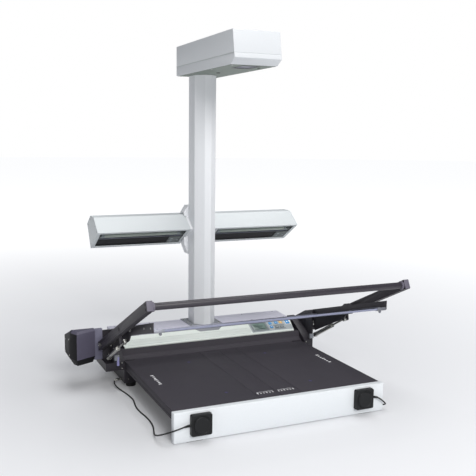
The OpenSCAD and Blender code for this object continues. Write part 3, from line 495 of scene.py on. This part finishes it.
# How far each node's edges are rounded, in metres
EASED = {
    "front_panel": 0.0016, "platform_tray": 0.0008, "book_plate_left": 0.0007, "book_plate_right": 0.0007,
    "spine_strip_left": 0.0006, "spine_strip_right": 0.0006, "base_chassis": 0.0009, "top_cover": 0.0014,
    "control_strip": 0.0007, "rear_fascia": 0.001, "rear_panel": 0.0004, "power_switch": 0.0006,
    "rubber_feet": 0.001, "centre_foot": 0.001, "column": 0.0016, "column_shoe": 0.0006,
    "lamp_bracket": 0.001, "lamp_housing_left": 0.001, "lamp_housing_right": 0.001,
    "lamp_reflectors": 0.0005, "head_cover": 0.0018, "head_tray": 0.0018, "lens_barrel": 0.001,
    "drive_cover": 0.003, "pivot_bracket_left": 0.001, "pivot_bracket_right": 0.001,
    "arm_left": 0.0014, "arm_right": 0.0014, "arm_caps": 0.0009, "handle_tube": 0.0008,
    "carrier_plate_left": 0.0007, "carrier_plate_right": 0.0007, "glass_rails": 0.0004,
    "glass_rear_bar": 0.0005, "glass_clips": 0.0005, "strut_cylinder_left": 0.0007,
    "strut_cylinder_right": 0.0007, "strut_rod_left": 0.0005, "strut_rod_right": 0.0005,
    "switch_pad_left": 0.0014, "switch_pad_right": 0.0014, "start_button": 0.0006, "blue_key_1": 0.0006,
    "blue_key_2": 0.0006, "blue_key_3": 0.0006, "orange_key": 0.0006, "grey_key_1": 0.0005,
    "grey_key_2": 0.0005, "lamp_louvres": 0.0002, "keypad": 0.0002, "lcd_window": 0.0003,
    "lens_window": 0.0004,
}
# The head and lamp housings take the darker copies of the white paint, which are painted shade
FINISH_OF = {"glass_clips": FINISH["clip_metal"], "handle_tube": EXTRA["handle_paint"],
             "lamp_housing_left": EXTRA["lamp_white"], "lamp_housing_right": EXTRA["lamp_white"],
             "head_cover": EXTRA["head_white"], "head_tray": EXTRA["head_white"]}
shells = {node: eased(node, width, FINISH_OF.get(node)) for node, width in EASED.items()}


# ---------------------------------------------------------------- glass

def make_glass():
    """The pane: clear faces, bluish ground edges."""
    pane = eased("glass_plate", 0.0006, FINISH["clear_glass"])
    pane.data.materials.append(EXTRA["glass_edge"])
    tilt = math.radians(GLASS_TILT)
    up = Vector((0, math.sin(tilt), math.cos(tilt)))
    for face in pane.data.polygons:
        face.material_index = 0 if abs(face.normal.dot(up)) > 0.9 else 1


make_glass()


# ---------------------------------------------------------------- frames of the slanted parts

def slanted(y, z, degrees):
    """A frame with its origin at y and z in millimetres, turned about X."""
    return Matrix.Translation((0, y / 1000, z / 1000)) @ Matrix.Rotation(math.radians(degrees), 4, "X")


STRIP = slanted(STRIP_LOW_Y, STRIP_LOW_Z, math.degrees(math.atan2(STRIP_RISE, STRIP_RUN)))
ARM = slanted(PIVOT_Y, PIVOT_Z, -ARM_ANGLE)
GLASS = slanted(GLASS_PIN_Y, GLASS_PIN_Z, -GLASS_TILT)
# Along a lamp's mouth from its front lip, Z into the housing
MOUTH = slanted(MOUTH_LIP_Y, MOUTH_LIP_Z, -MOUTH_TILT)


def boxes(name, corners, finish, body="base", ease=0.0, place=None):
    """Several blocks, given in millimetres by two corners each, as one piece."""
    bm = bmesh.new()
    for low, high in corners:
        block(bm, Vector(low) * MM, Vector(high) * MM)
    return piece(name, bm, finish_named(finish), body, ease, place)


def turned(name, bodies, finish, body="base", place=None, sides=32):
    """Several turned bodies as one piece: (start, towards, [(radius, height), ...]) in millimetres."""
    bm = bmesh.new()
    for start, towards, profile in bodies:
        start, towards = Vector(start) / 1000, Vector(towards)
        lathe(bm, [(r / 1000, h / 1000) for r, h in profile], along(start, start + towards), sides)
    return piece(name, bm, finish_named(finish), body, place=place)


def framed(bm, outer, inner, z1, z2):
    """A flat rectangular frame: outer and inner as (x1, y1, x2, y2) in millimetres."""
    loops = []
    for (x1, y1, x2, y2) in (outer, inner):
        for z in (z1, z2):
            loops.append([bm.verts.new(Vector((x, y, z)) * MM)
                          for x, y in ((x1, y1), (x2, y1), (x2, y2), (x1, y2))])
    outer_low, outer_high, inner_low, inner_high = loops
    for first, second in ((outer_low, outer_high), (outer_high, inner_high),
                          (inner_high, inner_low), (inner_low, outer_low)):
        for k in range(4):
            n = (k + 1) % 4
            bm.faces.new([first[k], first[n], second[n], second[k]])


def frame_piece(name, frames, finish, ease=0.0, place=None):
    """Several flat frames in the fixed frame as one piece: (outer, inner, z1, z2) in millimetres."""
    bm = bmesh.new()
    for outer, inner, z1, z2 in frames:
        framed(bm, outer, inner, z1, z2)
    return piece(name, bm, finish_named(finish), "base", ease, place)


# ---------------------------------------------------------------- platform

def make_platform_marks():
    """Thin printed guide marks on the book plates, stops near the housing and seams in the tray's sides."""
    low, high = DECK_TOP - 0.05, DECK_TOP + 0.12
    ticks = []
    for k in range(13):
        x, tall = -62 + 10 * k, (11 if k % 3 == 0 else 7)
        if min(abs(x + 71), abs(x), abs(x - 71)) > 2:
            ticks.append(((x - 1.6, -619, low), (x + 1.6, -619 + tall, high)))
    ticks += [((x1, -606, low), (x2, -604.6, high)) for x1, x2 in ((-62, -8), (8, 54))]
    for side in (-1, 1):
        for k in range(7):
            y, wide = -424 + 14 * k, (10 if k % 3 == 0 else 7)
            x1, x2 = sorted((side * 301, side * (301 + wide)))
            ticks.append(((x1, y - 3.2, low), (x2, y + 3.2, high)))
    boxes("deck_ticks", ticks, "mark_white")
    crosses = []
    for x, y in ((-145, -569), (145, -569), (-145, -250), (145, -250)):
        crosses += [((x - 6, y - 1, low), (x + 6, y + 1, high)),
                    ((x - 1, y + 1, low), (x + 1, y + 6, high)),
                    ((x - 1, y - 6, low), (x + 1, y - 1, high))]
    boxes("deck_crosses", crosses, "mark_blue")
    boxes("deck_stops", [((x1, -158, DECK_TOP - 0.2), (x2, -153, DECK_TOP + 2.4))
                         for x1, x2 in ((308, 344), (-344, -308))], "charcoal_steel", ease=0.0006)
    boxes("tray_side_seams", [((x1, -640, 70.0), (x2, -176, 71.0))
                              for x1, x2 in ((344.9, 345.4), (-345.4, -344.9))],
          "lining")


make_platform_marks()


# ---------------------------------------------------------------- hand switches

def make_hand_switches():
    """Crowned round buttons in a raised ring, on pads with a back plate."""
    for side, sign in SIDES:
        centre = (sign * HAND_SWITCH_X, -689.0, HAND_SWITCH_Z)
        crown = [(0, 0), (24.6, 0), (25, 0.4), (25, 4.4), (24.6, 5.4), (23.6, 6.0), (21, 6.35), (17, 6.2),
                 (10, 5.8), (0, 5.6)]
        button = turned("hand_button_" + side, [((centre[0], -685.3, centre[2]), (0, -1, 0), crown)],
                        "black_plastic", "switch_button_%s_body" % side, sides=64)
        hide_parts("switch_button_" + side)
        ring = [(25.5, -1.0), (28.4, -1.0), (28.4, 0.5), (27.9, 1.0), (26.2, 1.0), (25.5, 0.5), (25.5, -1.0)]
        bm = bmesh.new()
        lathe_ring(bm, [(r / 1000, h / 1000) for r, h in ring[:-1]],
                   along(Vector(centre) / 1000, Vector(centre) / 1000 + Vector((0, -1, 0))), 64)
        piece("hand_ring_" + side, bm, FINISH["black_plastic"], "base")
        boxes("hand_seam_" + side, [((centre[0] - 31.15, -680.2, 21.35), (centre[0] + 31.15, -679.6, 83.65))],
              "lining", ease=0.0002)


make_hand_switches()


# ---------------------------------------------------------------- control strip

def make_controls():
    """Bezels, grey lines painted as the shade along the strip's folds, and plain symbols of the control
    strip, in the strip's own frame.
    """
    fold_shade_lines = [((-302, 33.2, -0.3), (150, 34.0, 0.12)), ((-322, 7.2, -0.3), (150, 8.0, 0.12)),
               ((-330, 60.4, -0.3), (150, 61.0, 0.12))]
    boxes("strip_creases", fold_shade_lines, "crease", place=STRIP)
    frame_piece("display_bezel", [((167.5, 11.5, 234.5, 58.5), (174.5, 17.5, 228, 53.0), 0.5, 1.9)],
                "key_grey", ease=0.0004, place=STRIP)
    boxes("display_lines", [((178, 22 + 7 * k, 0.7), (178 + length, 24.2 + 7 * k, 1.05))
                            for k, length in enumerate((44, 30, 38, 24))],
          "lining", place=STRIP)
    frame_piece("start_frame", [((313.0, 33.0, 335.0, 61.0), (315.2, 35.2, 332.8, 58.8), 0.3, 1.5)],
                "mark_white", ease=0.0003, place=STRIP)
    boxes("grey_field", [((258.5, low, 0.55), (305.5, low + 6, 0.95)) for low in (11.5, 31.0)],
          "key_grey", place=STRIP)
    turned("strip_dot", [((-186, 53, -0.3), (0, 0, 1), [(0, 0), (2.2, 0), (2.2, 0.9), (1.6, 1.2), (0, 1.2)])],
           "lining", place=STRIP)


def make_key_symbols():
    """A raised dash, dot or arrow on each key."""
    keys = {"blue_key_1": (251, 47, "dash"), "blue_key_2": (249, 27, "dot"), "blue_key_3": (277, 48, "dash"),
            "orange_key": (296, 48, "dot"), "grey_key_1": (271, 24, "dash"), "grey_key_2": (292, 24, "dash"),
            "start_button": (324, 47, "arrow")}
    bottom, top = 1.8, 2.2
    for node, (x, up, sign) in keys.items():
        bm = bmesh.new()
        if sign == "dash":
            block(bm, Vector((x - 2.6, up - 0.6, bottom)) / 1000, Vector((x + 2.6, up + 0.6, top)) / 1000)
        elif sign == "dot":
            spot = Vector((x, up, bottom)) / 1000
            lathe(bm, [(0, 0), (0.0019, 0), (0.0019, 0.0004), (0, 0.0004)], Matrix.Translation(spot), 24)
        else:
            tri = [(x - 3, up - 4), (x + 4, up), (x - 3, up + 4)]
            low = [bm.verts.new(Vector((a, b, bottom)) / 1000) for a, b in tri]
            high = [bm.verts.new(Vector((a, b, top)) / 1000) for a, b in tri]
            bm.faces.new(low)
            bm.faces.new(high)
            for k in range(3):
                n = (k + 1) % 3
                bm.faces.new([low[k], low[n], high[n], high[k]])
        piece(node + "_symbol", bm, EXTRA["mark_white"], node + "_body", place=STRIP)


make_controls()
make_key_symbols()


# ---------------------------------------------------------------- lamps

def make_lamp_insides():
    """Tube with caps and holders, a black sheet below it, the control gear, and screws in the end plates."""
    caps, sockets, tubes, gear = [], [], [], []
    tube_axis = (54, 13.5)
    for side, sign in SIDES:
        inner, outer = sorted((sign * 53.5, sign * 395.0))
        # A black sheet with an upright edge inside each mouth, beyond the tube
        boxes("lamp_baffle_" + side, [((inner + 1, 64, 4.4), (outer - 1, 121.5, 5.6)),
                                      ((inner + 1, 64, 5.6), (outer - 1, 65.2, 16))], "lining",
              ease=0.0003, place=MOUTH)
        boxes("lamp_lip_" + side, [((inner + 12, 62.6, 3.6), (outer - 12, 63.8, 9))], "rail_metal",
              ease=0.0002, place=MOUTH)
        length = outer - inner - 40
        for end, way in ((inner, 1), (outer, -1)):
            low, high = sorted((end, end + way * 21))
            sockets.append(((low, 42, 4.6), (high, 62.4, 24)))
            caps.append(((end + way * 20.5, *tube_axis), (way, 0, 0),
                         [(0, 0), (8.4, 0), (8.8, 0.6), (8.8, 12), (8.2, 13), (0, 13)]))
        tubes.append(((inner + 20, *tube_axis), (1, 0, 0),
                      [(0, 0), (7.6, 0), (8, 0.6), (8, length - 0.6), (7.6, length), (0, length)]))
        right = outer - 9
        gear.append(((right - 50, 68, 2.2), (right, 119, 4.5)))
        for x, up, radius in ((right - 38, 84, 5.5), (right - 38, 103, 5.5), (right - 14, 94, 4)):
            caps.append(((x, up, 2.4), (0, 0, -1),
                         [(0, 0), (radius, 0), (radius, 1.6), (radius * 0.8, 2.4), (radius * 0.5, 2.4),
                          (radius * 0.45, 1.2), (0, 1.2)]))
    boxes("lamp_sockets", sockets, "lamp_socket", ease=0.0012, place=MOUTH)
    boxes("lamp_gear", gear, "lamp_socket", ease=0.0008, place=MOUTH)
    turned("lamp_caps", caps, "key_grey", place=MOUTH, sides=32)
    tube = turned("lamp_tubes_shell", tubes, "tube_glass", place=MOUTH, sides=40)
    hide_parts("lamp_tubes")
    around = ((20, 537), (92, 555), (128, 532), (88, 466), (0, 519))
    ends = [spot for s in (-1, 1) for spot in spots((s, 0, 0), [(s * 397.9, y, z) for y, z in around])]
    screws("lamp_end_screws", ends, 0.0024, "shoe_grey")


make_lamp_insides()


# ---------------------------------------------------------------- head and column

def make_head_details():
    """The underside's panel, painted dark grey-green for the shade under the head, with its window and sensor
    dots, the seam, screws, and slits at the back.
    """
    low = HEAD_LOW
    frame_piece("head_base", [((-76.5, -424.5, 76.5, 52), (-27.5, -405.5, 27.5, -329), low - 0.8, low + 0.2)],
                "head_underside", ease=0.0003)
    frame_piece("head_window_rim",
                [((-31, -409, 31, -325.5), (-26, -404.3, 26, -330.3), low - 1.8, low - 0.4)],
                "socket_plate", ease=0.0004)
    large = [(0, 0), (6.5, 0), (6.5, 1.6), (5.2, 2.4), (2, 2.6), (0, 2.6)]
    small = [(0, 0), (4.5, 0), (4.5, 1.4), (3.4, 2.2), (0, 2.4)]
    turned("head_sensor", [((-2, -150, low - 0.4), (0, 0, -1), large),
                           ((46, -366, low - 0.4), (0, 0, -1), small)], "black_plastic", sides=32)
    boxes("head_seam", [((-80.6, -455, 1104.7), (80.6, 56.2, 1105.5))], "crease")
    below = [(x, y, low - 0.7) for x in (-68, 68) for y in (-415, -250, -80, 42)]
    screws("head_base_screws", spots((0, 0, -1), below), 0.0026)
    rear = [(x, 55.8, z) for x in (-62, 62) for z in (1088, 1160)]
    screws("head_rear_screws", spots((0, 1, 0), rear), 0.0026)
    slits = [((-40 + 8 * k, 55.6, 1120), (-37 + 8 * k, 56.25, 1152)) for k in range(11)]
    boxes("head_rear_slits", slits, "lining")


def make_column_details():
    """A cable cover down the column's back, and screws at the shoe and the lamp bracket."""
    boxes("column_rear_cover", [((-16, 58.6, 168), (16, 60.6, 410)), ((-16, 58.6, 628), (16, 60.6, 1060))],
          "light_grey_paint", ease=0.0008)
    cover = [(0, 60.5, z) for z in (176, 290, 402, 636, 840, 1052)]
    screws("column_rear_screws", spots((0, 1, 0), cover), 0.0026, "shoe_grey")
    shoe = [(x, y, 162.4) for x in (-54, 54) for y in (-40, 0, 40)]
    screws("shoe_screws", spots((0, 0, 1), shoe), 0.0032)
    sleeve = [(s * x, 72.8, z) for s in (-1, 1) for x, z in ((48, 470), (48, 562), (30, 588))]
    screws("sleeve_screws", spots((0, 1, 0), sleeve), 0.003)


make_head_details()
make_column_details()


# ---------------------------------------------------------------- rear housing

def make_housing_details():
    """Screws and vents at the housing's sides, top and back, and the sockets' details."""
    top = [(x, y, 159.9) for x in (-325, -190, 190, 325) for y in (-48, 46)]
    screws("cover_screws", spots((0, 0, 1), top), 0.0026, "shoe_grey")
    corners = ((-20, 40), (42, 40), (42, 108), (-20, 108))
    sides = [spot for s in (-1, 1) for spot in spots((s, 0, 0), [(s * 349.9, y, z) for y, z in corners])]
    screws("chassis_side_screws", sides, 0.0028)
    vents = []
    for s in (-1, 1):
        low, high = sorted((s * 349.6, s * 350.3))
        vents += [((low, -12 + 7 * k, 54), (high, -9 + 7 * k, 94)) for k in range(7)]
    boxes("chassis_vents", vents, "lining")
    panel = [(x, 58.8, z) for x in (-144, 144) for z in (39, 102)]
    screws("rear_panel_screws", spots((0, 1, 0), panel), 0.0024)
    front = [(x, -169.9, 30) for x in (-335, -95, 95, 335)]
    screws("chassis_front_screws", spots((0, -1, 0), front), 0.0026)
    # Stands the frame up against the rear panel, with its thickness to the rear
    upright = (Matrix.Translation((0, 0.0588, 0)) @ Matrix.Rotation(math.radians(90), 4, "X")
               @ Matrix.Scale(-1, 4, (0, 0, 1)))
    frame_piece("inlet_rim", [((-108, 55, -72, 85), (-102.2, 60.8, -77.8, 79.2), 0, 1.6)], "black_plastic",
                ease=0.0005, place=upright)
    pins = [((-90 + dx, 33.5, 70 + dz), (0, 1, 0), [(0, 0), (1.6, 0), (1.6, 14), (1.0, 15), (0, 15)])
            for dx, dz in ((-7, -2), (0, 3), (7, -2))]
    turned("inlet_pins", pins, "bright_metal", sides=20)
    boxes("rating_plate", [((-20, 58.8, 56), (26, 59.3, 86))], "shoe_grey", ease=0.0002)
    boxes("rocker_marks", [((-45.7, 59.2, 76.5), (-44.3, 61.7, 80.5))], "mark_white",
          body="power_switch_body")
    barrel = [(0, 0), (4.6, 0), (4.6, 1.6), (3.9, 2.0), (2.4, 2.0), (2.2, 0.6), (0, 0.6)]
    turned("data_sockets", [((x, 58.6, 42), (0, 1, 0), barrel) for x in (114, 128)], "bright_metal", sides=24)


make_housing_details()


# ---------------------------------------------------------------- lifting gear

LIFT_PIN = [(0, 0), (9.5, 0), (9.5, 3), (8.4, 4), (8.4, 21), (0, 21)]
LIFT_PIN_END = [(0, 0), (7.4, 0), (7.4, 1.6), (5.6, 2.2), (3.2, 2.2), (3.0, 1), (0, 1)]
STRUT_STUD = [(0, 0), (5.4, 0), (5.6, 0.5), (5.6, 2.4), (4.4, 3.2), (0, 3.4)]
HANDLE_COLLAR = [(0, 0), (13.2, 0), (13.6, 0.6), (13.6, 5), (12.4, 6.2), (10.6, 6.4), (10.6, 7), (0, 7)]
CARRIER_PIN_END = [(0, 0), (6.2, 0), (6.2, 1.5), (4.8, 2.1), (0, 2.1)]
CAP_SCREW = [(0, 0), (3.2, 0), (3.2, 1.2), (2.2, 1.8), (0, 1.8)]
PLATE_SCREW = [(0, 0), (3.0, 0), (3.0, 0.9), (2.2, 1.6), (0, 1.7)]
CARRIER_HUB = [(0, 0), (10.4, 0), (10.8, 0.5), (10.8, 2.4), (9.4, 3.4), (0, 3.4)]
DAMPER = [(0, 0), (3.6, 0), (4.4, 0.8), (4.4, 30), (3.6, 31), (1.6, 31), (1.6, 36), (0, 36)]
PLATE_SCREWS_AT = ((54.6, -34.7), (58.6, -5.4), (130, -18), (214, -18), (222, -58), (-150, -6), (-214, -8))


def make_gear_details():
    """Bright pivots and a damper at the brackets; collars and screws on the arms and side plates."""
    for side, sign in SIDES:
        outwards, inwards = (sign, 0, 0), (-sign, 0, 0)
        bracket_pins = [((sign * 387, PIVOT_Y, PIVOT_Z), outwards, LIFT_PIN),
                        ((sign * 428.2, PIVOT_Y, PIVOT_Z), outwards, LIFT_PIN_END),
                        ((sign * 406.3, -168, 112.5), outwards, STRUT_STUD)]
        turned("bracket_pins_" + side, bracket_pins, "bright_metal")
        turned("handle_collar_" + side, [((sign * 409.7, HANDLE_ALONG_ARM, 0), inwards, HANDLE_COLLAR)],
               "cap_plastic", "arm_frame", place=ARM, sides=48)
        arm_pins = [((sign * 428.1, -273.2, 0), outwards, CARRIER_PIN_END),
                    ((sign * 428.0, -575, 7), outwards, CAP_SCREW),
                    ((sign * 428.0, -575, -7), outwards, CAP_SCREW)]
        turned("arm_pins_" + side, arm_pins, "arm_paint", "arm_frame", place=ARM, sides=24)
        plate = [((sign * 391.8, y, z), outwards, PLATE_SCREW) for y, z in PLATE_SCREWS_AT]
        turned("carrier_screws_" + side, plate, "bright_metal", "glass_carrier", place=GLASS, sides=20)
        turned("carrier_hub_" + side, [((sign * 392, 0, 0), outwards, CARRIER_HUB)], "bright_metal",
               "glass_carrier", place=GLASS, sides=32)
        bracket = [(sign * 386, y, z) for y, z in ((-165, 192), (-122, 184), (-60, 150), (-60, 82))]
        screws("bracket_screws_" + side, spots(outwards, bracket), 0.003)
        face = [(sign * 358, -173.9, z) for z in (72, 90)]
        screws("bracket_face_screws_" + side, spots((0, -1, 0), face), 0.0026)
        x1, x2 = sorted((sign * 369, sign * 385.5))
        boxes("strut_foot_" + side, [((x1, -182, 103), (x2, -173.5, 120))], "shoe_grey", ease=0.0012)
        x1, x2 = sorted((sign * 387.6, sign * 384))
        boxes("carrier_rib_" + side, [((x1, -200, -12.6), (x2, -40, -11.0))], "rail_metal", "glass_carrier",
              ease=0.0002, place=GLASS)
    turned("cover_damper", [((-373, -178.6, 84), (0, 0, 1), DAMPER)], "damper_lilac",
           sides=24)


def make_drive_details():
    """A darker outer end and underside, an inner facet painted lighter where the key light falls on it, a
    parting line, a vent and screws.
    """
    cover = shells["drive_cover"]
    cover.data.materials.append(EXTRA["lining"])
    cover.data.materials.append(EXTRA["drive_facet"])
    # light indexes the inner facet's faces, painted lighter where the key light falls on them
    dark, light, facet_x = 1, 2, -0.4395
    for face in cover.data.polygons:
        if face.normal.x < -0.75 or face.normal.z < -0.5:
            face.material_index = dark
        elif face.center.x > facet_x:
            face.material_index = light
    boxes("drive_parting", [((-524.3, -116, 131.4), (-523.6, -36, 132.4))], "lining")
    end = [(-524, y, z) for y, z in ((-110, 118), (-110, 172), (-50, 118), (-50, 160))]
    screws("drive_screws", spots((-1, 0, 0), end), 0.0028)
    slits = [((-500 + 7 * k, -35.3, 120), (-497 + 7 * k, -34.6, 158)) for k in range(7)]
    boxes("drive_vents", slits, "lining")


make_gear_details()
make_drive_details()
